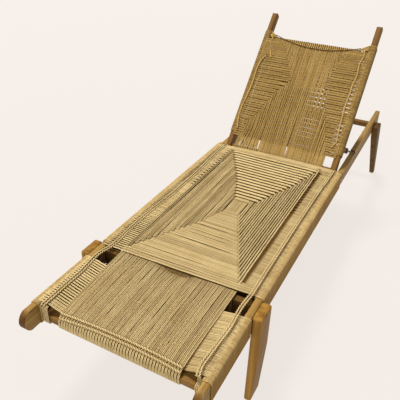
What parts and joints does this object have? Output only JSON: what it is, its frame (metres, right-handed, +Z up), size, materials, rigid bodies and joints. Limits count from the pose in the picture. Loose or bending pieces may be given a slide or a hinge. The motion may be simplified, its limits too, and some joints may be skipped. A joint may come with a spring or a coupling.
{
  "type": "chaise lounge",
  "caption": "Timber chaise lounge with a woven paper cord seat, cord-wrapped rails and a propped reclining backrest.",
  "frame": {"origin": "on the floor, under the middle of the lounge's length and width", "axes": "+X to the right hand side seen from the foot end, +Y from the foot end to the head end, +Z up"},
  "size_m": [0.632, 1.965, 0.8147],
  "materials": {
    "timber": "oiled, worn on the edges",
    "leg_timber": "oiled, darker",
    "cord": "twisted paper cord, matt",
    "steel": "dull",
    "brass": "dull"
  },
  "bodies": {
    "frame": {"side_rail_left": "timber", "side_rail_right": "timber", "foot_rail": "timber", "seat_front_rail": "timber", "seat_rear_rail": "timber", "rear_rail": "timber", "leg_front_left": "leg_timber", "leg_front_right": "leg_timber", "leg_rear_left": "leg_timber", "leg_rear_right": "leg_timber", "leg_screws_front": "steel", "leg_screws_rear": "steel", "foot_wrap_left": "cord", "foot_wrap_right": "cord", "seat_wrap_left": "cord", "seat_wrap_right": "cord", "foot_side_strip_left": "cord", "foot_side_strip_right": "cord", "seat_side_strip_left": "cord", "seat_side_strip_right": "cord", "edge_rope_left": "cord", "edge_rope_right": "cord", "foot_cord_panel": "cord", "foot_twine_row": "cord", "foot_lashing_left": "cord", "foot_lashing_right": "cord", "seat_front_wrap": "cord", "seat_rear_wrap": "cord", "seat_cord_panel": "cord", "seat_under_cords": "cord", "foot_under_cords": "cord"},
    "backrest": {"back_stile_left": "timber", "back_stile_right": "timber", "back_top_rail": "timber", "back_lower_rail": "timber", "pivot_pins": "brass", "pivot_spacers": "brass", "prop_bracket_left": "steel", "prop_bracket_right": "steel", "prop_hinge_pins": "steel", "stile_wrap_left": "cord", "stile_wrap_right": "cord", "back_side_strip_left": "cord", "back_side_strip_right": "cord", "back_edge_rope_left": "cord", "back_edge_rope_right": "cord", "back_lower_wrap": "cord", "back_top_wrap": "cord", "back_cord_panel": "cord", "back_top_rope": "cord", "back_shoulder_left": "cord", "back_shoulder_right": "cord", "back_rear_cords": "cord"},
    "prop": {"prop_arm_left": "timber", "prop_arm_right": "timber", "prop_rod": "steel"}
  },
  "joints": [
    {"name": "backrest_hinge", "type": "hinge", "parent": "frame", "child": "backrest", "pos_m": [0, 0.2375, 0.303], "axis": [1, 0, 0], "range_deg": [0, 24.5]},
    {"name": "prop_hinge", "type": "hinge", "parent": "backrest", "child": "prop", "pos_m": [0, 0.35512, 0.38104], "axis": [1, 0, 0], "range_deg": [-55, 0]}
  ],
  "couplings": [
    {"joint": "prop_hinge", "follows": "backrest_hinge", "ratio": -2.19}
  ]
}
